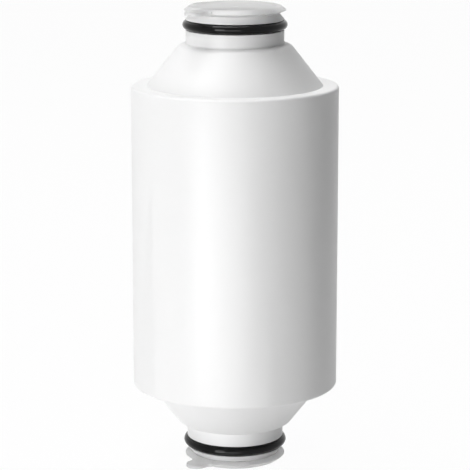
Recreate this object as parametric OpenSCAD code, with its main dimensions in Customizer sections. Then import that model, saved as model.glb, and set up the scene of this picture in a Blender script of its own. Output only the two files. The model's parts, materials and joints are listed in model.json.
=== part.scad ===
// Inline water filter cartridge.
//
// A round white housing with a cone and an O-ring spigot at each end. Each spigot
// is closed by a translucent dust cap with a pull tab. Inside, water rises from the
// lower spigot, spreads through a diffuser, passes inwards through a fleece-wrapped
// carbon block, and leaves through a hollow-fibre membrane that is plugged into the
// upper end fitting.
//
// Frame: millimetres, +Z up along the axis, origin at the middle of the lower dust
// cap's outer face.

/* [Sleeve] */
// Outside diameter of the sleeve
sleeve_d = 58.4; // [56:0.2:72]
// Length of the sleeve between its end faces
sleeve_len = 86.4; // [70:0.2:140]
// Wall of the sleeve
sleeve_wall = 2.4; // [1.8:0.1:3]
// Radius of the rounded outer edges at the sleeve's ends
sleeve_edge_r = 0.8; // [0.3:0.1:1]
// Thickness of the lip that the sleeve turns in at its upper end
lip_t = 2.4; // [1.8:0.1:3.4]
// How far the lip reaches in over the upper flange
lip_w = 2; // [1:0.1:3]
// Chamfer on the inner edge of the lip
lip_chamfer = 0.3; // [0.1:0.05:0.6]

/* [End fittings] */
// Diameter of the cone where it leaves the sleeve
cone_base_d = 49.4; // [46:0.1:50]
// Diameter at which the cone's slope meets its flat top
cone_top_d = 31.2; // [29.4:0.1:33]
// Height of the cone above the sleeve's end face
cone_h = 11.7; // [10:0.1:18]
// Wall of the cone, square to its surface
shell_wall = 2.2; // [1.6:0.1:2.6]
// Radius of the rounded shoulder at the top of the cone
shoulder_r = 1.4; // [0.5:0.1:1.4]
// Diameter of the spigot
neck_d = 27.6; // [26.8:0.1:28.6]
// Length of the spigot above the cone
neck_len = 8.7; // [8.7:0.1:14]
// Bore of the spigot
neck_bore_d = 20.6; // [19:0.1:21]
// Length of the bore, from the spigot's end to the screen pocket
neck_bore_len = 6.6; // [6:0.1:8]
// Height of the chamfer that leads the spigot into its socket
neck_chamfer_h = 1.8; // [1:0.1:1.8]
// Depth of that chamfer along the radius
neck_chamfer_w = 1.55; // [0.5:0.05:1.6]
// Radius of the fillet where the spigot meets the cone's flat top
neck_fillet_r = 0.3; // [0.1:0.05:0.4]
// Thickness of the flanges that close the sleeve
flange_t = 2.4; // [1.8:0.1:3.4]
// Height of the weld skirt above the lower flange
weld_skirt_h = 3.5; // [2:0.1:6]
// Wall of the weld skirt
weld_skirt_wall = 2; // [1.2:0.1:3]
// Bore of the socket in the upper fitting that takes the membrane's head
socket_d = 26; // [25:0.1:27]
// Wall of the socket
socket_wall = 2; // [1.4:0.1:2.4]
// How far the socket reaches below the upper flange
socket_drop = 2.6; // [1:0.1:6]

/* [O-rings] */
// Cord diameter of the spigot O-rings
o_ring_cord = 2.62; // [2.4:0.02:2.8]
// Depth of the O-ring groove
groove_depth = 1.72; // [1.5:0.05:1.9]
// Room in the groove beside the cord, on each side
groove_side_room = 0.14; // [0.05:0.01:0.3]
// Height of the groove's middle above the cone's flat top
groove_height = 5.35; // [3:0.05:5.4]

/* [Dust caps] */
// Diameter of the cap's disc at its widest
cap_d = 28.8; // [27:0.1:32]
// Diameter of the disc's outer face
cap_face_d = 25.8; // [24.6:0.1:26.6]
// Diameter of the disc's inner face, which rests on the spigot's end
cap_seat_d = 25.2; // [24.6:0.1:26.8]
// Thickness of the cap's disc
cap_t = 1.9; // [1.5:0.05:2.4]
// Height of the disc's widest edge above its inner face
cap_edge_h = 0.75; // [0.3:0.05:0.9]
// Radius at which the disc's edges are rounded
cap_edge_r = 0.15; // [0.1:0.05:0.3]
// Length of the plug that enters the spigot
plug_len = 5; // [3:0.1:5.6]
// Wall of the plug
plug_wall = 1; // [0.6:0.05:1.6]
// Chamfer at the plug's end
plug_chamfer = 0.4; // [0.1:0.05:0.5]
// How far the pull tab reaches beyond the disc's edge
tab_reach = 4.6; // [4:0.1:14]
// Width of the pull tab
tab_w = 5.8; // [4:0.1:8]
// Thickness of the pull tab
tab_t = 0.95; // [0.6:0.05:1.1]
// Distance of the tab from the cap's inner face
tab_step = 0.5; // [0:0.05:0.5]
// Radius of the fillets where the tab leaves the disc
tab_root_r = 1.5; // [1:0.1:2.2]
// Direction of the pull tabs, counter-clockwise from +X
tab_angle = 227; // [0:1:359]
// Diameter of the shallow recess in the cap's outer face
recess_d = 22.6; // [12:0.1:23.4]
// Depth of the recess
recess_depth = 0.25; // [0.1:0.05:0.4]
// Diameter of the moulding gate mark in the middle of the recess
gate_d = 2.4; // [1:0.1:4]
// Height of the gate mark
gate_h = 0.1; // [0.05:0.05:0.1]

/* [Screens] */
// Ledge on which a screen rests, around the spigot's bore
screen_ledge = 0.9; // [0.6:0.1:1.1]
// Thickness of a screen's wires and rim
screen_t = 0.5; // [0.3:0.05:0.8]
// Width of a screen's rim
screen_rim = 1.2; // [0.8:0.1:2]
// Distance between a screen's wires
screen_pitch = 2; // [1.6:0.1:3]
// Height of the ring that holds a screen in its pocket
screen_ring_h = 2.4; // [1.5:0.1:2.6]
// Wall of that ring
screen_ring_wall = 1.6; // [1:0.1:2.4]
// Room left below the ring in the pocket
pocket_lead = 0.5; // [0.2:0.1:0.8]

/* [Carbon block] */
// Water gap between the netting and the sleeve
flow_gap = 2.6; // [2:0.1:4]
// Thickness of the netting
net_t = 0.6; // [0.4:0.05:0.8]
// Number of upright strands in the netting
net_strands = 16; // [8:1:24]
// Number of hoops in the netting
net_hoops = 11; // [5:1:15]
// Thickness of the pre-filter fleece around the block
wrap_t = 0.8; // [0.4:0.05:1.5]
// Thickness of the fleece that lines the block's bore
fleece_t = 0.5; // [0.3:0.05:1]
// Water gap between the fleece and the membrane housing
core_gap = 0.8; // [0.5:0.05:1.5]
// Thickness of the discs of the block's end caps
end_cap_t = 2.5; // [1.5:0.1:4]
// Height of the rims of the end caps
end_cap_rim_h = 4; // [2:0.1:6]
// Wall of those rims
end_cap_rim_wall = 0.9; // [0.6:0.05:1.2]
// Number of centring fins on each end cap
fin_count = 6; // [3:1:12]
// Thickness of the fins and of the feet
fin_t = 1.4; // [0.8:0.1:2.4]
// Height of the feet under the lower end cap
foot_h = 2.5; // [1.5:0.1:5]
// Length of a foot along its radius
foot_len = 9; // [6:0.5:12]
// Thickness of the flow diffuser
diffuser_t = 2; // [1:0.1:4]
// Diameter of the diffuser's holes
diffuser_hole_d = 3; // [2:0.1:3.4]
// Distance between the diffuser's rings of holes
diffuser_pitch = 5; // [4.6:0.1:6]
// Thickness of the gasket between the upper end cap and the socket
gasket_t = 1.5; // [0.8:0.1:3]
// Radial width of the gasket
gasket_w = 2.4; // [2:0.1:3.4]

/* [Membrane] */
// Wall of the membrane housing
housing_wall = 2.6; // [2:0.1:3]
// How far the membrane's head reaches into the socket
head_insert = 10; // [8:0.1:13]
// Number of window rows in the housing
window_rows = 5; // [2:1:7]
// Width of a window
window_w = 6; // [3:0.1:7]
// Height of a window
window_h = 6; // [3:0.1:7]
// Wall left between the windows and the resin
window_land = 3; // [1:0.1:5]
// Cord diameter of the seal rings on the membrane's head
seal_cord = 1.5; // [1.3:0.05:1.7]
// Distance from the head's end to the first seal ring
seal_inset = 2.4; // [1.6:0.1:3.4]
// Distance between the two seal rings
seal_pitch = 3.4; // [2.6:0.1:4]
// Length of the resin at the fibres' open ends
upper_potting_h = 12; // [8:0.1:16]
// Length of the resin at the fibres' closed ends
lower_potting_h = 5; // [4:0.1:8]
// How far the fibres reach into the lower resin
fibre_insert = 3; // [1:0.1:3.5]
// Outside diameter of a hollow fibre
fibre_d = 1.5; // [1:0.1:1.7]
// Bore of a hollow fibre
fibre_bore_d = 0.9; // [0.5:0.1:0.9]
// Distance between the fibres
fibre_pitch = 2.4; // [2.2:0.1:3]

/* [Fits] */
// Gap between round pieces that are fitted into each other
fit_gap = 0.1; // [0.05:0.01:0.15]
// Gap around a dust cap's plug
plug_gap = 0.05; // [0.02:0.01:0.1]
// Gap under an O-ring or a seal ring
ring_gap = 0.03; // [0.01:0.01:0.05]

/* [Hidden] */
$fn = 96;
arc_steps = 10;           // segments in a rounded edge
fibre_fn = 24;            // sides of a fibre as drawn
small_hole_fn = 24;       // sides of a diffuser hole as drawn
overlap = 0.5;            // how far joined shapes reach into each other
cut_room = 1;             // how far a cutting shape passes a face
strand_inset = 0.05;      // how far the netting's strands lie inside its hoops
ring_groove_room = 0.1;   // side room of a seal ring in its groove
potting_gap = 0.02;       // fit of the resin in its housing and around a fibre
fibre_edge = 0.3;         // room between the outermost fibres and the housing

// Radii of the housing
sleeve_r = sleeve_d / 2;
sleeve_bore_r = sleeve_r - sleeve_wall;
cone_base_r = cone_base_d / 2;
cone_top_r = cone_top_d / 2;
flange_r = sleeve_bore_r - fit_gap;
collar_r = flange_r - lip_w;
lip_r = collar_r + fit_gap;
neck_r = neck_d / 2;
bore_r = neck_bore_d / 2;
groove_r = neck_r - groove_depth;
groove_w = o_ring_cord + 2 * groove_side_room;

// The cone: how much its radius shrinks for each millimetre of height
cone_k = (cone_base_r - cone_top_r) / cone_h;
cone_normal = atan(cone_k);
shell_inner_r = min(cone_base_r, collar_r) - shell_wall / cos(cone_normal);
function cone_inner_r(z) = shell_inner_r - cone_k * z;

// Heights in an end fitting, counted outwards from the sleeve's end face
neck_end = cone_h + neck_len;
groove_mid = cone_h + groove_height;
pocket_top = neck_end - neck_bore_len;
pocket_depth = screen_t + screen_ring_h + pocket_lead;
pocket_bottom = pocket_top - pocket_depth;
screen_r = bore_r + screen_ledge;
pocket_r = screen_r + fit_gap;
inner_top_r = max(cone_inner_r(pocket_bottom), pocket_r);
socket_r = socket_d / 2;
socket_outer_r = socket_r + socket_wall;

// The dust cap's radii, and the directions that its two slanted sides face
cap_r = cap_d / 2;
cap_face_r = cap_face_d / 2;
cap_seat_r = cap_seat_d / 2;
plug_r = bore_r - plug_gap;
cap_side_normal = atan((cap_r - cap_face_r) / (cap_t - cap_edge_h));
cap_under_normal = -atan((cap_r - cap_seat_r) / cap_edge_h);

// Heights of the assembly
sleeve_z0 = cap_t + neck_end;
sleeve_z1 = sleeve_z0 + sleeve_len;
diffuser_z = sleeve_z0 + flange_t + weld_skirt_h;
lower_cap_z = diffuser_z + diffuser_t + foot_h;
block_z0 = lower_cap_z + end_cap_t;
socket_z = sleeve_z1 - lip_t - flange_t - socket_drop;
gasket_z = socket_z - gasket_t;
block_z1 = gasket_z - end_cap_t;
block_len = block_z1 - block_z0;

// Radii of the filter element, from the sleeve inwards
net_r = sleeve_bore_r - flow_gap;
wrap_r = net_r - net_t;
block_r = wrap_r - wrap_t;
housing_r = socket_r - fit_gap;
housing_inner_r = housing_r - housing_wall;
fleece_inner_r = housing_r + core_gap;
block_bore_r = fleece_inner_r + fleece_t;
end_cap_r = net_r + fit_gap + end_cap_rim_wall;
fin_r = sleeve_bore_r - 2 * fit_gap;

// The membrane
housing_top = socket_z + head_insert;
seal_groove_r = housing_r - seal_cord + fit_gap + ring_gap;
seal_groove_w = seal_cord + 2 * ring_groove_room;
seal_z = [for (i = [0, 1]) housing_top - seal_inset - i * seal_pitch];
upper_potting_z = housing_top - upper_potting_h;
lower_potting_top = block_z0 + lower_potting_h;
fibre_field_r = housing_inner_r - fibre_d / 2 - fibre_edge;
fibre_rings = floor(fibre_field_r / fibre_pitch);

// Points of an arc about a centre, from one angle to another
function arc(centre, r, from, to) =
    [for (i = [0:arc_steps])
        let (angle = from + (to - from) * i / arc_steps)
        centre + r * [cos(angle), sin(angle)]];

// Points that round off an outer corner between two edges, given the directions
// that the edges face
function rounded(corner, r, from, to) =
    let (n1 = [cos(from), sin(from)], n2 = [cos(to), sin(to)])
    arc(corner - r * (n1 + n2) / (1 + n1 * n2), r, from, to);

// Places a shape that is drawn outwards from the sleeve's end face
module at_upper_end() {
    translate([0, 0, sleeve_z1]) children();
}

module at_lower_end() {
    translate([0, 0, sleeve_z0]) mirror([0, 0, 1]) children();
}

// A plain tube that stands on z = 0
module tube(outer_r, inner_r, h) {
    rotate_extrude() translate([inner_r, 0]) square([outer_r - inner_r, h]);
}

// ---------------------------------------------------------------- Housing

// Sleeve: open below, with a lip that turns in around the upper cone
module housing_sleeve() {
    color("white")
    translate([0, 0, sleeve_z0])
    rotate_extrude()
    polygon(concat(
        [[sleeve_bore_r, 0]],
        rounded([sleeve_r, 0], sleeve_edge_r, -90, 0),
        rounded([sleeve_r, sleeve_len], sleeve_edge_r, 0, 90),
        [
            [lip_r + lip_chamfer, sleeve_len],
            [lip_r, sleeve_len - lip_chamfer],
            [lip_r, sleeve_len - lip_t],
            [sleeve_bore_r, sleeve_len - lip_t]
        ]
    ));
}

// Cone and spigot with their bore, O-ring groove and screen pocket, on a collar that
// reaches into the sleeve
module end_shell(depth) {
    rotate_extrude()
    polygon(concat(
        [[collar_r, -depth], [collar_r, 0], [cone_base_r, 0]],
        rounded([cone_top_r, cone_h], shoulder_r, cone_normal, 90),
        arc([neck_r + neck_fillet_r, cone_h + neck_fillet_r], neck_fillet_r, 270, 180),
        [
            [neck_r, groove_mid - groove_w / 2],
            [groove_r, groove_mid - groove_w / 2],
            [groove_r, groove_mid + groove_w / 2],
            [neck_r, groove_mid + groove_w / 2],
            [neck_r, neck_end - neck_chamfer_h],
            [neck_r - neck_chamfer_w, neck_end],
            [bore_r, neck_end],
            [bore_r, pocket_top],
            [pocket_r, pocket_top],
            [pocket_r, pocket_bottom],
            [inner_top_r, pocket_bottom],
            [shell_inner_r, 0],
            [shell_inner_r, -depth]
        ]
    ));
}

// Upper fitting: its flange is welded under the sleeve's lip, and its socket seals the membrane
module upper_end_fitting() {
    color("white")
    at_upper_end() union() {
        end_shell(lip_t + flange_t);
        translate([0, 0, -lip_t - flange_t])
            tube(flange_r, shell_inner_r, flange_t);
        translate([0, 0, -lip_t - flange_t - socket_drop])
            tube(socket_outer_r, socket_r, lip_t + flange_t + socket_drop + pocket_bottom + overlap);
    }
}

// Lower fitting: its flange closes the sleeve's open end, and its skirt is welded to the bore
module lower_end_fitting() {
    color("white")
    at_lower_end() union() {
        end_shell(flange_t);
        translate([0, 0, -flange_t])
            tube(flange_r, shell_inner_r, flange_t);
        translate([0, 0, -flange_t - weld_skirt_h])
            tube(flange_r, flange_r - weld_skirt_wall, weld_skirt_h + overlap);
    }
}

// ---------------------------------------------------------------- O-rings

module o_ring() {
    translate([0, 0, groove_mid])
    rotate_extrude()
    translate([groove_r + ring_gap + o_ring_cord / 2, 0])
    circle(d = o_ring_cord);
}

module upper_o_ring() {
    color("black") at_upper_end() o_ring();
}

module lower_o_ring() {
    color("black") at_lower_end() o_ring();
}

// ---------------------------------------------------------------- Dust caps

// Outline of the pull tab along +X, with filleted roots and a round end
module tab_outline() {
    half = tab_w / 2;
    end_x = cap_r + tab_reach - half;
    root_x = sqrt(pow(cap_r + tab_root_r, 2) - pow(half + tab_root_r, 2));
    root_angle = atan2(half + tab_root_r, root_x);
    inner_r = min(cap_face_r, cap_seat_r) - overlap;
    polygon(concat(
        [inner_r * [cos(root_angle), -sin(root_angle)]],
        arc([root_x, -half - tab_root_r], tab_root_r, 180 - root_angle, 90),
        arc([end_x, 0], half, -90, 0),
        arc([end_x, 0], half, 0, 90),
        arc([root_x, half + tab_root_r], tab_root_r, 270, 180 + root_angle),
        [inner_r * [cos(root_angle), sin(root_angle)]]
    ));
}

// Cap, drawn outwards from the spigot's end face
module dust_cap() {
    recess_r = recess_d / 2;
    translate([0, 0, neck_end]) {
        rotate_extrude()
        polygon(concat(
            [[0, 0], [plug_r - plug_wall, 0], [plug_r - plug_wall, -plug_len]],
            [[plug_r - plug_chamfer, -plug_len], [plug_r, -plug_len + plug_chamfer], [plug_r, 0]],
            [[cap_seat_r, 0]],
            rounded([cap_r, cap_edge_h], cap_edge_r, cap_under_normal, cap_side_normal),
            rounded([cap_face_r, cap_t], cap_edge_r, cap_side_normal, 90),
            [
                [recess_r + recess_depth, cap_t],
                [recess_r, cap_t - recess_depth],
                [gate_d / 2, cap_t - recess_depth],
                [gate_d / 2 - gate_h, cap_t - recess_depth + gate_h],
                [0, cap_t - recess_depth + gate_h]
            ]
        ));
        rotate([0, 0, tab_angle])
        translate([0, 0, tab_step])
        linear_extrude(tab_t) tab_outline();
    }
}

module upper_dust_cap() {
    color([0.93, 0.94, 0.94, 0.8]) at_upper_end() dust_cap();
}

module lower_dust_cap() {
    color([0.93, 0.94, 0.94, 0.8]) at_lower_end() dust_cap();
}

// ---------------------------------------------------------------- Screens

// Screen: a rim with two layers of crossing wires, against the ledge of its pocket
module screen() {
    wires = floor((screen_r - screen_rim) / screen_pitch);
    translate([0, 0, pocket_top - screen_t]) {
        tube(screen_r, screen_r - screen_rim, screen_t);
        for (turn = [0, 90])
            rotate([0, 0, turn])
            for (i = [-wires:wires]) {
                y = i * screen_pitch;
                half = sqrt(pow(screen_r - screen_rim / 2, 2) - y * y);
                translate([-half, y - screen_t / 2, 0]) cube([2 * half, screen_t, screen_t]);
            }
    }
}

// Ring that is pressed into the pocket below the screen
module screen_ring() {
    translate([0, 0, pocket_top - screen_t - screen_ring_h])
        tube(pocket_r - fit_gap / 2, pocket_r - fit_gap / 2 - screen_ring_wall, screen_ring_h);
}

module upper_screen() {
    color("silver") at_upper_end() screen();
}

module lower_screen() {
    color("silver") at_lower_end() screen();
}

module upper_screen_ring() {
    color("gainsboro") at_upper_end() screen_ring();
}

module lower_screen_ring() {
    color("gainsboro") at_lower_end() screen_ring();
}

// ---------------------------------------------------------------- Filter element

// Perforated plate on the weld skirt, which spreads the water
module flow_diffuser() {
    rings = floor((flange_r - weld_skirt_wall - diffuser_hole_d) / diffuser_pitch);
    color("gainsboro")
    translate([0, 0, diffuser_z])
    difference() {
        cylinder(r = flange_r, h = diffuser_t);
        for (ring = [1:rings])
            for (i = [0:6 * ring - 1])
                rotate([0, 0, i * 60 / ring])
                translate([ring * diffuser_pitch, 0, -cut_room])
                cylinder(d = diffuser_hole_d, h = diffuser_t + 2 * cut_room, $fn = small_hole_fn);
    }
}

// End cap that stands on z = 0, with its rim upwards and fins that centre it in the sleeve
module block_end_cap(hole_r) {
    rim_r = end_cap_r - end_cap_rim_wall;
    rotate_extrude()
    polygon([
        [hole_r, 0],
        [end_cap_r, 0],
        [end_cap_r, end_cap_t + end_cap_rim_h],
        [rim_r, end_cap_t + end_cap_rim_h],
        [rim_r, end_cap_t],
        [hole_r, end_cap_t]
    ]);
    for (i = [0:fin_count - 1])
        rotate([0, 0, 360 * i / fin_count])
        translate([rim_r, -fin_t / 2, 0])
        cube([fin_r - rim_r, fin_t, end_cap_t]);
}

// Lower end cap: closes the block's bore and stands on the diffuser
module block_lower_end_cap() {
    color("gainsboro")
    translate([0, 0, lower_cap_z]) union() {
        block_end_cap(0);
        for (i = [0:fin_count - 1])
            rotate([0, 0, 360 * i / fin_count])
            translate([end_cap_r - foot_len - fin_t, -fin_t / 2, -foot_h])
            cube([foot_len, fin_t, foot_h + overlap]);
    }
}

// Upper end cap: open in the middle, where the membrane's head passes
module block_upper_end_cap() {
    color("gainsboro")
    translate([0, 0, gasket_z]) mirror([0, 0, 1]) block_end_cap(housing_r + fit_gap);
}

// Gasket between the upper end cap and the socket's rim
module end_cap_gasket() {
    color("dimgray")
    translate([0, 0, gasket_z])
        tube(housing_r + fit_gap + gasket_w, housing_r + fit_gap, gasket_t);
}

module carbon_block() {
    color([0.13, 0.13, 0.14])
    translate([0, 0, block_z0]) tube(block_r, block_bore_r, block_len);
}

// Fleece that keeps carbon dust out of the bore
module bore_fleece() {
    color("snow")
    translate([0, 0, block_z0]) tube(block_bore_r - fit_gap, fleece_inner_r, block_len);
}

// Fleece around the block, which catches sediment
module prefilter_wrap() {
    color("snow")
    translate([0, 0, block_z0]) tube(wrap_r, block_r + fit_gap, block_len);
}

// Netting of hoops and upright strands around the fleece
module block_netting() {
    hoop_step = (block_len - net_t) / (net_hoops - 1);
    color("white")
    translate([0, 0, block_z0]) {
        for (i = [0:net_hoops - 1])
            translate([0, 0, i * hoop_step]) tube(net_r, wrap_r + fit_gap, net_t);
        for (i = [0:net_strands - 1])
            rotate([0, 0, 360 * i / net_strands])
            translate([wrap_r + fit_gap + strand_inset, -net_t / 2, 0])
            cube([net_t - fit_gap - 2 * strand_inset, net_t, block_len]);
    }
}

// ---------------------------------------------------------------- Membrane

// Housing: windows let water in to the fibres, and the head carries two seal rings
module membrane_housing() {
    window_z0 = lower_potting_top + window_land;
    window_z1 = upper_potting_z - window_land - window_h;
    window_step = (window_z1 - window_z0) / (window_rows - 1);
    color("whitesmoke")
    difference() {
        translate([0, 0, block_z0]) tube(housing_r, housing_inner_r, housing_top - block_z0);
        for (z = seal_z)
            translate([0, 0, z - seal_groove_w / 2])
                tube(housing_r + cut_room, seal_groove_r, seal_groove_w);
        for (row = [0:window_rows - 1])
            for (turn = [0, 60, 120])
                translate([0, 0, window_z0 + row * window_step])
                rotate([0, 0, turn + 30 * (row % 2)])
                translate([-housing_r - cut_room, -window_w / 2, 0])
                cube([2 * (housing_r + cut_room), window_w, window_h]);
    }
}

module membrane_seal_rings() {
    color("black")
    for (z = seal_z)
        translate([0, 0, z])
        rotate_extrude()
        translate([seal_groove_r + seal_cord / 2, 0])
        circle(d = seal_cord - 2 * ring_gap);
}

// Runs its children at every fibre: one in the middle and rings of six, twelve and more
module at_fibres() {
    children();
    for (ring = [1:fibre_rings])
        for (i = [0:6 * ring - 1])
            rotate([0, 0, i * 60 / ring])
            translate([ring * fibre_pitch, 0, 0]) children();
}

// Resin at the top, cut flush with the fibres so that they are open there
module upper_potting() {
    color("burlywood")
    difference() {
        translate([0, 0, upper_potting_z])
            cylinder(r = housing_inner_r - potting_gap, h = upper_potting_h);
        translate([0, 0, upper_potting_z - cut_room]) at_fibres()
            cylinder(d = fibre_d + 2 * potting_gap, h = upper_potting_h + 2 * cut_room, $fn = fibre_fn);
    }
}

// Resin at the bottom, which closes the fibres
module lower_potting() {
    color("burlywood")
    difference() {
        translate([0, 0, block_z0]) cylinder(r = housing_inner_r - potting_gap, h = lower_potting_h);
        translate([0, 0, lower_potting_top - fibre_insert]) at_fibres()
            cylinder(d = fibre_d + 2 * potting_gap, h = fibre_insert + cut_room, $fn = fibre_fn);
    }
}

// Hollow fibres, which run straight from the lower resin to the upper resin's cut face
module fibre_bundle() {
    fibre_z = lower_potting_top - fibre_insert;
    color("ivory")
    translate([0, 0, fibre_z]) at_fibres()
        tube(fibre_d / 2, fibre_bore_d / 2, housing_top - fibre_z, $fn = fibre_fn);
}

housing_sleeve();
upper_end_fitting();
lower_end_fitting();
upper_o_ring();
lower_o_ring();
upper_dust_cap();
lower_dust_cap();
upper_screen();
lower_screen();
upper_screen_ring();
lower_screen_ring();
flow_diffuser();
block_lower_end_cap();
block_upper_end_cap();
end_cap_gasket();
carbon_block();
bore_fleece();
prefilter_wrap();
block_netting();
membrane_housing();
membrane_seal_rings();
upper_potting();
lower_potting();
fibre_bundle();
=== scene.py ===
"""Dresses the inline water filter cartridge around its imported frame.

Every outer piece is modelled with bmesh operators at the frame's own places: the sleeve, the
two end fittings, the O-rings and the dust caps. The inner pieces keep their frame meshes and
get their finishes. Lengths are in millimetres in the finishes and the pieces' classes, and in
metres in the meshes and the studio.
"""

import json
import logging
import math
from dataclasses import dataclass
from enum import Enum

import bmesh
import bpy
from mathutils import Matrix, Vector


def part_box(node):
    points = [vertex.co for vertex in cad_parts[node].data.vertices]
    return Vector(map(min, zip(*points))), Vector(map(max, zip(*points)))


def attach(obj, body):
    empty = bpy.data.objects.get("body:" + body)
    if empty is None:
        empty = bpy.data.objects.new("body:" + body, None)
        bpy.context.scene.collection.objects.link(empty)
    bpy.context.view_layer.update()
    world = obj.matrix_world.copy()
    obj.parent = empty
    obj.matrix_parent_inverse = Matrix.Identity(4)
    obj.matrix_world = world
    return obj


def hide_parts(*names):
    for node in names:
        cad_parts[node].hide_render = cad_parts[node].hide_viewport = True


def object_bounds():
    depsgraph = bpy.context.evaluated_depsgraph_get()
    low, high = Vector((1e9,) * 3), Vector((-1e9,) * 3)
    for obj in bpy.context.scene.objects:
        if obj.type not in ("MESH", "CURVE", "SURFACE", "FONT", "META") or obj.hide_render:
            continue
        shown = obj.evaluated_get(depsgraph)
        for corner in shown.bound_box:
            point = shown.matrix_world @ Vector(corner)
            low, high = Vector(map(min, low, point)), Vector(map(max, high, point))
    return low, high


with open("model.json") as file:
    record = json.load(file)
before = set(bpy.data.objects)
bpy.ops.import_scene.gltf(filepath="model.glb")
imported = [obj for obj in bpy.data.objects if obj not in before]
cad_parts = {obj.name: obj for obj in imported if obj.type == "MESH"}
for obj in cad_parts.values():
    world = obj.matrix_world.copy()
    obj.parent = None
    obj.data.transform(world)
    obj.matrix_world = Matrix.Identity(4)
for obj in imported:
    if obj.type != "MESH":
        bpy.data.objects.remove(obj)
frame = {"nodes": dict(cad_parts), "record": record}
CAD_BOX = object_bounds()

LOG = logging.getLogger("cartridge")
MM = 0.001
MERGE_GAP = 1e-7  # in metres: corners closer than this are one
SHARP_ANGLE = 32.0  # in degrees: an edge that turns more than this stays sharp
WHITE = (1.0, 1.0, 1.0, 1.0)
ORIGIN = (0.0, 0.0, 0.0)
UP = (0.0, 0.0, 1.0)


class End(Enum):
    """The two ends of the cartridge. The value is the direction of its outward axis along Z."""

    UPPER = 1
    LOWER = -1

    @property
    def word(self) -> str:
        """The end's name as the frame's nodes use it."""
        return self.name.lower()


class Turn(Enum):
    """How finely a turned piece is divided around its axis."""

    BODY = 256
    RING = 192


# --------------------------------------------------------------------------- Shader groups


def new_group(name: str, inputs: dict[str, float], outputs: dict[str, str]) -> bpy.types.NodeTree:
    """Makes an empty shader node group with named sockets.

    Args:
        name: The group's name.
        inputs: Each input's name and its default value.
        outputs: Each output's name and its socket type.

    Returns:
        The node tree, with its input and output nodes in place.
    """
    tree = bpy.data.node_groups.new(name, "ShaderNodeTree")
    for label, value in inputs.items():
        socket = tree.interface.new_socket(label, in_out="INPUT", socket_type="NodeSocketFloat")
        socket.default_value = value
    for label, kind in outputs.items():
        tree.interface.new_socket(label, in_out="OUTPUT", socket_type=kind)
    tree.nodes.new("NodeGroupInput").name = "in"
    tree.nodes.new("NodeGroupOutput").name = "out"
    return tree


def moulded_grain_group() -> bpy.types.NodeTree:
    """The fine grain and slow waviness of moulded plastic, by its place on the object.

    Returns:
        A group whose Height feeds a bump and whose Patch is a slow mask from 0 to 1.
    """
    tree = new_group(
        "moulded_grain",
        {"Grain Scale": 1500.0, "Wave Scale": 60.0, "Wave Share": 0.5},
        {"Height": "NodeSocketFloat", "Patch": "NodeSocketFloat"},
    )
    nodes, links = tree.nodes, tree.links
    place = nodes.new("ShaderNodeTexCoord")
    grain = nodes.new("ShaderNodeTexNoise")
    wave = nodes.new("ShaderNodeTexNoise")
    blend = nodes.new("ShaderNodeMix")
    for noise, scale, detail in ((grain, "Grain Scale", 3.0), (wave, "Wave Scale", 1.0)):
        noise.inputs["Detail"].default_value = detail
        links.new(place.outputs["Object"], noise.inputs["Vector"])
        links.new(nodes["in"].outputs[scale], noise.inputs["Scale"])
    links.new(nodes["in"].outputs["Wave Share"], blend.inputs["Factor"])
    links.new(grain.outputs["Fac"], blend.inputs[2])
    links.new(wave.outputs["Fac"], blend.inputs[3])
    links.new(blend.outputs[0], nodes["out"].inputs["Height"])
    links.new(wave.outputs["Fac"], nodes["out"].inputs["Patch"])
    return tree


# --------------------------------------------------------------------------- Finishes


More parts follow.
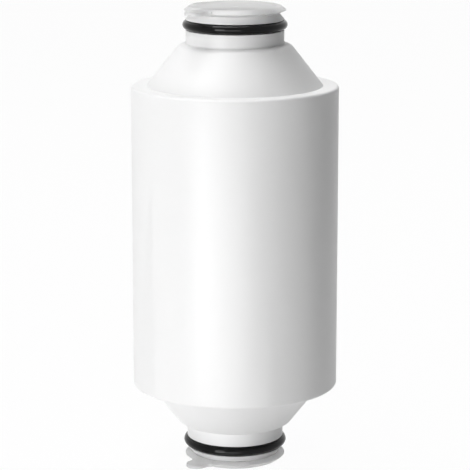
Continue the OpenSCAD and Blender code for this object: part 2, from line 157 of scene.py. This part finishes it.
@dataclass(frozen=True)
class Finish:
    """A surface finish that is made into one node material.

    The colour runs between shade and tint with the slow patches of the grain, and the
    roughness runs between the two values of its range with them. Lengths are in millimetres,
    and the two scales are in waves to a metre.
    """

    name: str
    tint: tuple[float, float, float]
    shade: tuple[float, float, float]
    roughness: tuple[float, float]
    grain_scale: float = 1500.0
    wave_scale: float = 60.0
    wave_share: float = 0.5
    bump_strength: float = 0.1
    bump_depth: float = 0.02
    specular: float = 0.5
    metallic: float = 0.0
    coat: float = 0.0
    coat_roughness: float = 0.1
    sheen: float = 0.0
    ior: float = 1.49
    subsurface: float = 0.0
    subsurface_radius: float = 1.0
    opacity: float = 1.0

    def material(self, grain: bpy.types.NodeTree) -> bpy.types.Material:
        """Builds the node material.

        Args:
            grain: The shared group of moulded grain.

        Returns:
            The new material.
        """
        made = bpy.data.materials.new(self.name)
        made.use_nodes = True
        nodes, links = made.node_tree.nodes, made.node_tree.links
        shader = nodes["Principled BSDF"]
        for socket, value in (
            ("Metallic", self.metallic),
            ("Specular IOR Level", self.specular),
            ("IOR", self.ior),
            ("Coat Weight", self.coat),
            ("Coat Roughness", self.coat_roughness),
            ("Sheen Weight", self.sheen),
            ("Subsurface Weight", self.subsurface),
            ("Subsurface Scale", self.subsurface_radius * MM),
        ):
            shader.inputs[socket].default_value = value
        shader.inputs["Subsurface Radius"].default_value = (1.0, 1.0, 1.0)
        if self.opacity < 1.0:
            self.let_sight_through(made.node_tree, shader)
        group = nodes.new("ShaderNodeGroup")
        group.node_tree = grain
        group.inputs["Grain Scale"].default_value = self.grain_scale
        group.inputs["Wave Scale"].default_value = self.wave_scale
        group.inputs["Wave Share"].default_value = self.wave_share
        colour = nodes.new("ShaderNodeMix")
        colour.data_type = "RGBA"
        colour.inputs["A"].default_value = (*self.shade, 1.0)
        colour.inputs["B"].default_value = (*self.tint, 1.0)
        rough = nodes.new("ShaderNodeMapRange")
        rough.inputs["To Min"].default_value = self.roughness[0]
        rough.inputs["To Max"].default_value = self.roughness[1]
        bump = nodes.new("ShaderNodeBump")
        bump.inputs["Strength"].default_value = self.bump_strength
        bump.inputs["Distance"].default_value = self.bump_depth * MM
        links.new(group.outputs["Patch"], colour.inputs["Factor"])
        links.new(group.outputs["Patch"], rough.inputs["Value"])
        links.new(group.outputs["Height"], bump.inputs["Height"])
        links.new(colour.outputs["Result"], shader.inputs["Base Color"])
        links.new(rough.outputs["Result"], shader.inputs["Roughness"])
        links.new(bump.outputs["Normal"], shader.inputs["Normal"])
        return made

    def let_sight_through(self, tree: bpy.types.NodeTree, shader: bpy.types.Node) -> None:
        """Makes the finish see-through, though it still shades what is behind it in full.

        Args:
            tree: The material's node tree.
            shader: The node whose Alpha is fed.
        """
        path = tree.nodes.new("ShaderNodeLightPath")
        solid = tree.nodes.new("ShaderNodeMath")
        solid.operation = "MAXIMUM"
        solid.inputs[1].default_value = self.opacity
        tree.links.new(path.outputs["Is Shadow Ray"], solid.inputs[0])
        tree.links.new(solid.outputs["Value"], shader.inputs["Alpha"])


FINISHES = {
    "sleeve_plastic": Finish(
        "sleeve_plastic", (0.90, 0.90, 0.90), (0.89, 0.89, 0.89), (0.36, 0.42), specular=0.3
    ),
    "fitting_plastic": Finish(
        "fitting_plastic", (0.88, 0.88, 0.88), (0.87, 0.87, 0.87), (0.38, 0.44), specular=0.3
    ),
    "seal_rubber": Finish(
        "seal_rubber", (0.004, 0.004, 0.004), (0.003, 0.003, 0.003), (0.06, 0.10),
        grain_scale=2600.0, bump_strength=0.05, specular=0.14,
    ),
    "cap_plastic": Finish(
        "cap_plastic", (0.98, 0.98, 0.98), (0.96, 0.96, 0.96), (0.30, 0.38),
        ior=1.50, bump_strength=0.15, subsurface=1.0, subsurface_radius=5.0, opacity=0.62,
    ),
    "screen_steel": Finish(
        "screen_steel", (0.56, 0.56, 0.57), (0.48, 0.48, 0.49), (0.25, 0.4), metallic=1.0
    ),
    "inner_plastic": Finish("inner_plastic", (0.80, 0.80, 0.79), (0.76, 0.76, 0.75), (0.45, 0.55)),
    "carbon": Finish(
        "carbon", (0.035, 0.035, 0.036), (0.012, 0.012, 0.012), (0.75, 0.95),
        grain_scale=1100.0, wave_share=0.1, bump_strength=0.8, bump_depth=0.4,
    ),
    "fleece": Finish(
        "fleece", (0.86, 0.85, 0.82), (0.76, 0.75, 0.71), (0.85, 0.95),
        grain_scale=1900.0, wave_share=0.1, bump_strength=0.6, bump_depth=0.3, sheen=0.4,
    ),
    "netting": Finish("netting", (0.85, 0.85, 0.85), (0.80, 0.80, 0.80), (0.4, 0.5)),
    "resin": Finish(
        "resin", (0.62, 0.45, 0.22), (0.52, 0.36, 0.16), (0.2, 0.3), coat=0.4
    ),
    "fibre": Finish("fibre", (0.88, 0.85, 0.77), (0.82, 0.78, 0.68), (0.6, 0.7)),
}


class Palette:
    """Makes each finish once and puts it on pieces and on frame nodes."""

    def __init__(self) -> None:
        """Builds the shared group."""
        self.grain = moulded_grain_group()
        self.made: dict[str, bpy.types.Material] = {}

    def get(self, slot: str) -> bpy.types.Material:
        """The material of a slot, made at its first use."""
        if slot not in self.made:
            self.made[slot] = FINISHES[slot].material(self.grain)
        return self.made[slot]

    def dress_node(self, node: str, slot: str) -> None:
        """Gives a frame node the finish of its slot."""
        mesh = frame["nodes"][node].data
        mesh.materials.clear()
        mesh.materials.append(self.get(slot))


# --------------------------------------------------------------------------- Mesh making


@dataclass
class Corner:
    """A corner of a turned outline: its radius and height, and how it is rounded, in mm."""

    r: float
    z: float
    rounding: float = 0.0
    steps: int = 8


def turned_mesh(outline: list[Corner], turn: Turn) -> bmesh.types.BMesh:
    """Turns a closed outline about the Z axis.

    Args:
        outline: The corners, in order around the outline.
        turn: How finely the piece is divided.

    Returns:
        A closed mesh in metres, with outward normals.
    """
    bm = bmesh.new()
    verts = [bm.verts.new((c.r * MM, 0.0, c.z * MM)) for c in outline]
    bm.faces.new(verts)
    for corner, vert in zip(outline, verts):
        if corner.rounding > 0.0:
            bmesh.ops.bevel(
                bm, geom=[vert], offset=corner.rounding * MM, offset_type="OFFSET",
                segments=corner.steps, profile=0.5, affect="VERTICES", material=-1,
                clamp_overlap=False,
            )
    face = next(iter(bm.faces))
    rim = list(face.edges)
    bmesh.ops.delete(bm, geom=[face], context="FACES_ONLY")
    spin_closed(bm, rim + list(bm.verts), turn)
    return bm


def spin_closed(bm: bmesh.types.BMesh, section: list[bmesh.types.BMEdge | bmesh.types.BMVert],
                turn: Turn) -> None:
    """Spins a section once around the Z axis and closes the skin.

    Args:
        bm: The mesh that holds the section.
        section: The section's edges and corners.
        turn: How finely the piece is divided.
    """
    bmesh.ops.spin(
        bm, geom=section, cent=ORIGIN, axis=UP, angle=2.0 * math.pi, steps=turn.value,
        use_merge=True, use_duplicate=False,
    )
    bmesh.ops.remove_doubles(bm, verts=bm.verts, dist=MERGE_GAP)
    bmesh.ops.recalc_face_normals(bm, faces=bm.faces)


def shade_smooth(mesh: bpy.types.Mesh, sharp_angle: float = SHARP_ANGLE) -> None:
    """Shades a mesh smooth and keeps its sharp edges.

    Args:
        mesh: The mesh to shade.
        sharp_angle: The angle in degrees past which an edge stays sharp.
    """
    mesh.polygons.foreach_set("use_smooth", [True] * len(mesh.polygons))
    mesh.set_sharp_from_angle(angle=math.radians(sharp_angle))


def finished_object(name: str, bm: bmesh.types.BMesh,
                    sharp_angle: float = SHARP_ANGLE) -> bpy.types.Object:
    """Turns a bmesh into a smooth-shaded object at the origin.

    Args:
        name: The piece's name.
        bm: The mesh, which is freed.
        sharp_angle: The angle in degrees past which an edge stays sharp.

    Returns:
        The linked object.
    """
    mesh = bpy.data.meshes.new(name)
    bm.to_mesh(mesh)
    bm.free()
    shade_smooth(mesh, sharp_angle)
    made = bpy.data.objects.new(name, mesh)
    bpy.context.scene.collection.objects.link(made)
    return made


def place_along(bm: bmesh.types.BMesh, end: End, base_z: float) -> None:
    """Moves a mesh that is drawn outwards from z = 0 to its end of the cartridge.

    Args:
        bm: The mesh to move.
        end: The end it belongs to.
        base_z: The height, in metres, at which its z = 0 goes.
    """
    if end is End.LOWER:
        bmesh.ops.scale(bm, vec=(1.0, 1.0, -1.0), verts=bm.verts)
        bmesh.ops.reverse_faces(bm, faces=bm.faces)
    bmesh.ops.translate(bm, vec=(0.0, 0.0, base_z), verts=bm.verts)


class Piece:
    """What every dressed piece shares: its body, its slot and the node it stands for."""

    def hand_over(self, made: bpy.types.Object, node: str, body: str, slot: str,
                  palette: Palette) -> None:
        """Dresses a piece and ties it to the frame.

        Args:
            made: The finished object.
            node: The frame node that it stands for.
            body: The body that it rides on.
            slot: Its material slot.
            palette: The finishes.
        """
        made.data.materials.append(palette.get(slot))
        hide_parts(node)
        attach(made, body)
        LOG.info("%s: %d faces, on %s", made.name, len(made.data.polygons), body)


# --------------------------------------------------------------------------- Sub-assemblies


@dataclass
class Sleeve(Piece):
    """The white housing, with the lip that it turns in around the upper cone."""

    outer_r: float = 29.2
    bore_r: float = 26.8
    lip_r: float = 24.72
    lip_t: float = 2.4
    lip_edge_r: float = 0.08
    lip_edge_steps: int = 3
    edge_r: float = 0.8

    def build(self, palette: Palette) -> None:
        """Turns the sleeve between the frame's own end faces."""
        low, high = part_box("housing_sleeve")
        z0, z1 = low.z / MM, high.z / MM
        outline = [
            Corner(self.bore_r, z0),
            Corner(self.outer_r, z0, self.edge_r),
            Corner(self.outer_r, z1, self.edge_r),
            Corner(self.lip_r, z1, self.lip_edge_r, self.lip_edge_steps),
            Corner(self.lip_r, z1 - self.lip_t),
            Corner(self.bore_r, z1 - self.lip_t),
        ]
        made = finished_object("sleeve_shell", turned_mesh(outline, Turn.BODY))
        self.hand_over(made, "housing_sleeve", "cartridge", "sleeve_plastic", palette)


@dataclass
class EndFitting(Piece):
    """A cone and spigot, drawn outwards from the sleeve's end face."""

    end: End
    cone_base_r: float = 24.7
    cone_top_r: float = 15.6
    cone_h: float = 11.7
    cone_inner_r: float = 21.9
    shoulder_r: float = 1.4
    shoulder_steps: int = 10
    neck_r: float = 13.8
    neck_len: float = 8.7
    neck_fillet_r: float = 0.3
    neck_fillet_steps: int = 5
    groove_mid: float = 17.05
    groove_w: float = 2.9
    groove_r: float = 12.08
    groove_edge_r: float = 0.1
    groove_edge_steps: int = 3
    chamfer_h: float = 1.8
    chamfer_w: float = 1.55
    mouth_r: float = 0.2
    mouth_steps: int = 4
    bore_r: float = 10.3
    bore_len: float = 6.6
    pocket_r: float = 11.3
    pocket_depth: float = 3.4
    inner_top_r: float = 13.82
    flange_r: float = 26.7
    flange_t: float = 2.4
    lip_t: float = 2.4
    socket_r: float = 13.0
    socket_wall: float = 2.0
    socket_drop: float = 2.6
    socket_meets_cone: float = 8.89
    skirt_h: float = 3.5
    skirt_wall: float = 2.0

    def outer_side(self) -> list[Corner]:
        """The outline from the cone's base to the pocket, which both ends share."""
        tip = self.cone_h + self.neck_len
        groove_low = self.groove_mid - self.groove_w / 2
        groove_high = self.groove_mid + self.groove_w / 2
        return [
            Corner(self.cone_base_r, 0.0),
            Corner(self.cone_top_r, self.cone_h, self.shoulder_r, self.shoulder_steps),
            Corner(self.neck_r, self.cone_h, self.neck_fillet_r, self.neck_fillet_steps),
            Corner(self.neck_r, groove_low, self.groove_edge_r, self.groove_edge_steps),
            Corner(self.groove_r, groove_low),
            Corner(self.groove_r, groove_high),
            Corner(self.neck_r, groove_high),
            Corner(self.neck_r, tip - self.chamfer_h),
            Corner(self.neck_r - self.chamfer_w, tip, self.mouth_r, self.mouth_steps),
            Corner(self.bore_r, tip, self.mouth_r, self.mouth_steps),
            Corner(self.bore_r, tip - self.bore_len),
            Corner(self.pocket_r, tip - self.bore_len),
            Corner(self.pocket_r, tip - self.bore_len - self.pocket_depth),
        ]

    def inner_side(self) -> list[Corner]:
        """The outline inside the sleeve: the upper end's socket or the lower end's skirt."""
        pocket_z = self.cone_h + self.neck_len - self.bore_len - self.pocket_depth
        if self.end is End.UPPER:
            back = -self.lip_t - self.flange_t
            socket_z = back - self.socket_drop
            outer = self.socket_r + self.socket_wall
            return [
                Corner(self.socket_r, pocket_z),
                Corner(self.socket_r, socket_z),
                Corner(outer, socket_z),
                Corner(outer, self.socket_meets_cone),
                Corner(self.cone_inner_r, 0.0),
                Corner(self.cone_inner_r, back),
                Corner(self.flange_r, back),
                Corner(self.flange_r, -self.lip_t),
                Corner(self.cone_base_r, -self.lip_t),
            ]
        back = -self.flange_t
        skirt_r = self.flange_r - self.skirt_wall
        return [
            Corner(self.inner_top_r, pocket_z),
            Corner(self.cone_inner_r, 0.0),
            Corner(self.cone_inner_r, back),
            Corner(skirt_r, back),
            Corner(skirt_r, back - self.skirt_h),
            Corner(self.flange_r, back - self.skirt_h),
            Corner(self.flange_r, 0.0),
        ]

    def build(self, palette: Palette) -> None:
        """Turns the fitting and seats it on the frame's end face."""
        node = f"{self.end.word}_end_fitting"
        low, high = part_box(node)
        tip = (self.cone_h + self.neck_len) * MM
        base_z = high.z - tip if self.end is End.UPPER else low.z + tip
        bm = turned_mesh(self.outer_side() + self.inner_side(), Turn.BODY)
        place_along(bm, self.end, base_z)
        made = finished_object(f"{self.end.word}_fitting_shell", bm)
        self.hand_over(made, node, "cartridge", "fitting_plastic", palette)


@dataclass
class SealRing(Piece):
    """An O-ring with the fine flash line that its mould leaves around the outside."""

    end: End
    cord_d: float = 2.62
    cord_steps: int = 40
    flash_out: float = 0.04
    sharp_angle: float = 60.0

    def build(self, palette: Palette) -> None:
        """Spins the ring's section around the axis."""
        node = f"{self.end.word}_o_ring"
        low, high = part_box(node)
        middle_z = (low.z + high.z) / 2
        middle_r = high.x - self.cord_d * MM / 2
        upright = Matrix.Rotation(math.pi / 2, 4, "X")
        bm = bmesh.new()
        section = bmesh.ops.create_circle(
            bm, segments=self.cord_steps, radius=self.cord_d * MM / 2,
            matrix=Matrix.Translation((middle_r, 0.0, middle_z)) @ upright,
        )
        ridge = max(section["verts"], key=lambda v: v.co.x)
        bmesh.ops.translate(bm, vec=(self.flash_out * MM, 0.0, 0.0), verts=[ridge])
        spin_closed(bm, list(bm.edges) + section["verts"], Turn.RING)
        made = finished_object(f"{self.end.word}_seal", bm, self.sharp_angle)
        self.hand_over(made, node, "cartridge", "seal_rubber", palette)


@dataclass
class DustCap(Piece):
    """A frosted plug with a slanted rim, a shallow recess and a pull tab."""

    end: End
    face_r: float = 12.9
    seat_r: float = 12.6
    rim_r: float = 14.4
    thickness: float = 1.9
    rim_h: float = 0.75
    rim_round: float = 0.15
    rim_steps: int = 6
    edge_r: float = 0.1
    edge_steps: int = 3
    recess_r: float = 11.3
    recess_depth: float = 0.25
    gate_r: float = 1.2
    gate_h: float = 0.1
    gate_edge_r: float = 0.04
    gate_steps: int = 2
    plug_r: float = 10.25
    plug_wall: float = 1.0
    plug_len: float = 5.0
    plug_fillet_r: float = 0.2
    plug_edge_r: float = 0.15
    plug_chamfer: float = 0.4
    plug_chamfer_steps: int = 4
    tab_reach: float = 19.0
    tab_w: float = 5.8
    tab_t: float = 0.95
    tab_z: float = 0.5
    tab_root_r: float = 1.5
    tab_edge_r: float = 0.2
    tab_edge_steps: int = 4
    tab_angle: float = 227.0
    tab_sink: float = 1.7
    tab_steps: int = 16

    def disc(self) -> bmesh.types.BMesh:
        """The disc and the hollow plug, turned in one piece."""
        floor = self.thickness - self.recess_depth
        inner = self.plug_r - self.plug_wall
        recess_top_r = self.recess_r + self.recess_depth
        gate_top_r = self.gate_r - self.gate_h
        gate_top = floor + self.gate_h
        outline = [
            Corner(0.0, 0.0),
            Corner(inner, 0.0, self.plug_fillet_r, self.edge_steps),
            Corner(inner, -self.plug_len, self.plug_edge_r, self.edge_steps),
            Corner(self.plug_r, -self.plug_len, self.plug_chamfer, self.plug_chamfer_steps),
            Corner(self.plug_r, 0.0),
            Corner(self.seat_r, 0.0, self.edge_r, self.edge_steps),
            Corner(self.rim_r, self.rim_h, self.rim_round, self.rim_steps),
            Corner(self.face_r, self.thickness, self.rim_round, self.rim_steps),
            Corner(recess_top_r, self.thickness, self.edge_r, self.edge_steps),
            Corner(self.recess_r, floor, self.edge_r, self.edge_steps),
            Corner(self.gate_r, floor),
            Corner(gate_top_r, gate_top, self.gate_edge_r, self.gate_steps),
            Corner(0.0, gate_top),
        ]
        return turned_mesh(outline, Turn.BODY)

    def tab_side(self) -> list[tuple[float, float]]:
        """Half the tab's outline, from inside the disc along the root's fillet to the round end.

        Returns:
            Points in the plane of the tab, with the tab along X.
        """
        half = self.tab_w / 2
        root_x = math.sqrt((self.rim_r + self.tab_root_r) ** 2 - (half + self.tab_root_r) ** 2)
        root = math.atan2(half + self.tab_root_r, root_x)
        inside = (self.face_r - self.tab_sink) * Vector((math.cos(root), math.sin(root)))
        fillet_turn = math.pi / 2 - root
        side = [(inside.x, inside.y)]
        for step in range(self.tab_steps + 1):
            angle = math.pi + root + fillet_turn * step / self.tab_steps
            side.append((
                root_x + self.tab_root_r * math.cos(angle),
                half + self.tab_root_r * (1.0 + math.sin(angle)),
            ))
        for step in range(self.tab_steps):
            angle = math.pi / 2 * (1.0 - step / self.tab_steps)
            side.append((
                self.tab_reach - half + half * math.cos(angle), half * math.sin(angle),
            ))
        return side

    def tab(self) -> bmesh.types.BMesh:
        """The pull tab, with filleted roots, a round end and soft edges."""
        side = self.tab_side()
        outline = [(x, -y) for x, y in side] + [(self.tab_reach, 0.0)] + side[::-1]
        bm = bmesh.new()
        verts = [bm.verts.new((x * MM, y * MM, self.tab_z * MM)) for x, y in outline]
        bm.faces.new(verts)
        grown = bmesh.ops.extrude_face_region(bm, geom=list(bm.faces))
        top = [v for v in grown["geom"] if isinstance(v, bmesh.types.BMVert)]
        bmesh.ops.translate(bm, vec=(0.0, 0.0, self.tab_t * MM), verts=top)
        bmesh.ops.recalc_face_normals(bm, faces=bm.faces)
        halfway = self.tab_t * MM / 2
        flat = [e for e in bm.edges if abs(e.verts[0].co.z - e.verts[1].co.z) < halfway]
        bmesh.ops.bevel(
            bm, geom=flat, offset=self.tab_edge_r * MM, offset_type="OFFSET",
            segments=self.tab_edge_steps, profile=0.5, affect="EDGES", material=-1,
            clamp_overlap=True,
        )
        bmesh.ops.rotate(
            bm, verts=bm.verts, cent=ORIGIN,
            matrix=Matrix.Rotation(math.radians(self.tab_angle), 3, "Z"),
        )
        return bm

    def joined(self, disc: bpy.types.Object, tab: bpy.types.Object) -> bpy.types.Object:
        """Unites the disc and the tab into one closed mesh.

        Args:
            disc: The disc with its plug, which gets the united mesh.
            tab: The pull tab, which is removed.

        Returns:
            The united cap.
        """
        union = disc.modifiers.new("unite", "BOOLEAN")
        union.operation = "UNION"
        union.solver = "EXACT"
        union.object = tab
        graph = bpy.context.evaluated_depsgraph_get()
        mesh = bpy.data.meshes.new_from_object(disc.evaluated_get(graph))
        disc.modifiers.clear()
        disc.data = mesh
        bpy.data.objects.remove(tab)
        shade_smooth(mesh)
        return disc

    def build(self, palette: Palette) -> None:
        """Makes the cap and seats it on the spigot."""
        node = f"{self.end.word}_dust_cap"
        low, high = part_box(node)
        shift = self.thickness * MM
        base_z = high.z - shift if self.end is End.UPPER else low.z + shift
        parts = []
        for label, bm in (("cap", self.disc()), ("tab", self.tab())):
            place_along(bm, self.end, base_z)
            parts.append(finished_object(f"{self.end.word}_{label}", bm))
        made = self.joined(*parts)
        self.hand_over(made, node, f"{self.end.word}_cap", "cap_plastic", palette)


@dataclass
class FilterElement:
    """The pieces inside the housing, which keep their frame meshes."""

    shells: tuple[str, ...] = (
        "housing_sleeve", "upper_end_fitting", "lower_end_fitting", "upper_o_ring",
        "lower_o_ring", "upper_dust_cap", "lower_dust_cap",
    )

    def build(self, palette: Palette) -> None:
        """Gives each inner node the finish of its slot."""
        for part in frame["record"]["subparts"]:
            if part["node"] not in self.shells:
                palette.dress_node(part["node"], part["material_slot"])
                LOG.info("%s: dressed as %s", part["node"], part["material_slot"])


# --------------------------------------------------------------------------- Studio


@dataclass
class Softbox:
    """A rectangular lamp that faces the cartridge from a distance.

    The angles are in degrees, from the front and up, the lengths in metres and the power in
    watts. With shine_only set it shows in the shine of a surface and doesn't light it otherwise.
    """

    name: str
    azimuth: float
    elevation: float
    width: float
    height: float
    power: float
    shine_only: bool = False
    distance: float = 0.9

    def build(self, target: Vector) -> None:
        """Hangs the lamp and turns it towards the target.

        Args:
            target: The point that it faces, in metres.
        """
        lamp = bpy.data.lights.new(self.name, "AREA")
        lamp.shape = "RECTANGLE"
        lamp.size, lamp.size_y = self.width, self.height
        lamp.energy = self.power
        turn, lift = math.radians(self.azimuth), math.radians(self.elevation)
        away = Vector(
            (math.sin(turn) * math.cos(lift), -math.cos(turn) * math.cos(lift), math.sin(lift))
        )
        made = bpy.data.objects.new(self.name, lamp)
        made.location = target + away * self.distance
        made.rotation_mode = "QUATERNION"
        made.rotation_quaternion = away.to_track_quat("Z", "Y")
        made.visible_camera = False
        made.visible_diffuse = not self.shine_only
        bpy.context.scene.collection.objects.link(made)


@dataclass
class Studio:
    """The camera, the lamps, the pale floor and the plain world.

    Lengths are in metres, apart from the lens and the sensor, which are in millimetres. The
    elevation is in degrees.
    """

    elevation: float = 12.218
    distance: float = 0.6391
    lens: float = 171.76
    sensor: float = 36.0
    clip: tuple[float, float] = (0.01, 20.0)
    ambient: float = 0.05
    floor_size: float = 4.0
    floor_colour: tuple[float, float, float] = (0.9, 0.9, 0.9)
    floor_roughness: float = 0.9
    floor_clearness: float = 0.97
    lamps: tuple[Softbox, ...] = (
        Softbox("key", -34.0, 0.0, 0.35, 0.9, 5.4),
        Softbox("top_left", -90.0, 76.0, 0.55, 0.55, 3.75),
        Softbox("top_back", 180.0, 72.0, 0.45, 0.45, 1.9),
        Softbox("top_front", -40.0, 60.0, 0.45, 0.45, 0.6),
        Softbox("low_front", -20.0, -65.0, 0.4, 0.4, 0.6),
        Softbox("shine_front", -16.0, -15.0, 0.95, 0.4, 9.0, shine_only=True),
        Softbox("shine_top", -90.0, 80.0, 0.4, 0.8, 7.2, shine_only=True),
    )

    def camera(self, centre: Vector) -> None:
        """Sets the camera in front of the cartridge, looking at its middle.

        Args:
            centre: The middle of the cartridge, in metres.
        """
        data = bpy.data.cameras.new("camera")
        data.lens, data.sensor_width = self.lens, self.sensor
        data.clip_start, data.clip_end = self.clip
        lift = math.radians(self.elevation)
        back = Vector((0.0, -math.cos(lift), math.sin(lift)))
        made = bpy.data.objects.new("camera", data)
        made.location = centre + back * self.distance
        made.rotation_mode = "QUATERNION"
        made.rotation_quaternion = back.to_track_quat("Z", "Y")
        bpy.context.scene.collection.objects.link(made)
        bpy.context.scene.camera = made

    def world(self) -> None:
        """A world that looks white, and lights the cartridge at a plain level."""
        made = bpy.data.worlds.new("studio")
        made.use_nodes = True
        nodes, links = made.node_tree.nodes, made.node_tree.links
        light = nodes["Background"]
        seen = nodes.new("ShaderNodeBackground")
        for shown, strength in ((light, self.ambient), (seen, 1.0)):
            shown.inputs["Color"].default_value = WHITE
            shown.inputs["Strength"].default_value = strength
        mix = nodes.new("ShaderNodeMixShader")
        links.new(self.seen_rays(made.node_tree), mix.inputs["Fac"])
        links.new(light.outputs["Background"], mix.inputs[1])
        links.new(seen.outputs["Background"], mix.inputs[2])
        links.new(mix.outputs["Shader"], nodes["World Output"].inputs["Surface"])
        bpy.context.scene.world = made

    def seen_rays(self, tree: bpy.types.NodeTree) -> bpy.types.NodeSocket:
        """A mask of the rays that show the background: to the camera, in gloss, through glass.

        Args:
            tree: The node tree to build in.

        Returns:
            The mask's output socket.
        """
        path = tree.nodes.new("ShaderNodeLightPath")
        total: bpy.types.NodeSocket = path.outputs["Is Camera Ray"]
        for kind in ("Is Glossy Ray", "Is Transmission Ray"):
            largest = tree.nodes.new("ShaderNodeMath")
            largest.operation = "MAXIMUM"
            tree.links.new(total, largest.inputs[0])
            tree.links.new(path.outputs[kind], largest.inputs[1])
            total = largest.outputs["Value"]
        return total

    def floor(self) -> None:
        """A pale floor that keeps a faint shadow and lets the white world show through.

        Lamps shine through it too, so that a cap that is pulled down past it stays in sight.
        """
        bm = bmesh.new()
        bmesh.ops.create_grid(bm, x_segments=1, y_segments=1, size=self.floor_size / 2)
        made = finished_object("floor", bm)
        paint = bpy.data.materials.new("pale_floor")
        paint.use_nodes = True
        nodes, links = paint.node_tree.nodes, paint.node_tree.links
        shader = nodes["Principled BSDF"]
        shader.inputs["Base Color"].default_value = (*self.floor_colour, 1.0)
        shader.inputs["Roughness"].default_value = self.floor_roughness
        clear = nodes.new("ShaderNodeBsdfTransparent")
        share = nodes.new("ShaderNodeMath")
        share.operation = "MULTIPLY"
        share.inputs[1].default_value = self.floor_clearness
        path = nodes.new("ShaderNodeLightPath")
        passed = nodes.new("ShaderNodeMath")
        passed.operation = "MAXIMUM"
        mix = nodes.new("ShaderNodeMixShader")
        links.new(self.seen_rays(paint.node_tree), share.inputs[0])
        links.new(share.outputs["Value"], passed.inputs[0])
        links.new(path.outputs["Is Shadow Ray"], passed.inputs[1])
        links.new(passed.outputs["Value"], mix.inputs["Fac"])
        links.new(shader.outputs["BSDF"], mix.inputs[1])
        links.new(clear.outputs["BSDF"], mix.inputs[2])
        links.new(mix.outputs["Shader"], nodes["Material Output"].inputs["Surface"])
        made.data.materials.append(paint)

    def build(self) -> None:
        """Sets up the camera, the world, the floor and the lamps."""
        low, high = CAD_BOX
        centre = (low + high) / 2
        self.camera(centre)
        self.world()
        self.floor()
        for lamp in self.lamps:
            lamp.build(centre)
        bpy.context.scene.view_settings.view_transform = "Standard"


def main() -> None:
    """Builds the studio and then the cartridge, from the outside in."""
    logging.basicConfig(level=logging.INFO, format="%(name)s: %(message)s")
    palette = Palette()
    Studio().build()
    Sleeve().build(palette)
    for end in End:
        EndFitting(end).build(palette)
        SealRing(end).build(palette)
        DustCap(end).build(palette)
    FilterElement().build(palette)


if __name__ == "__main__":
    main()
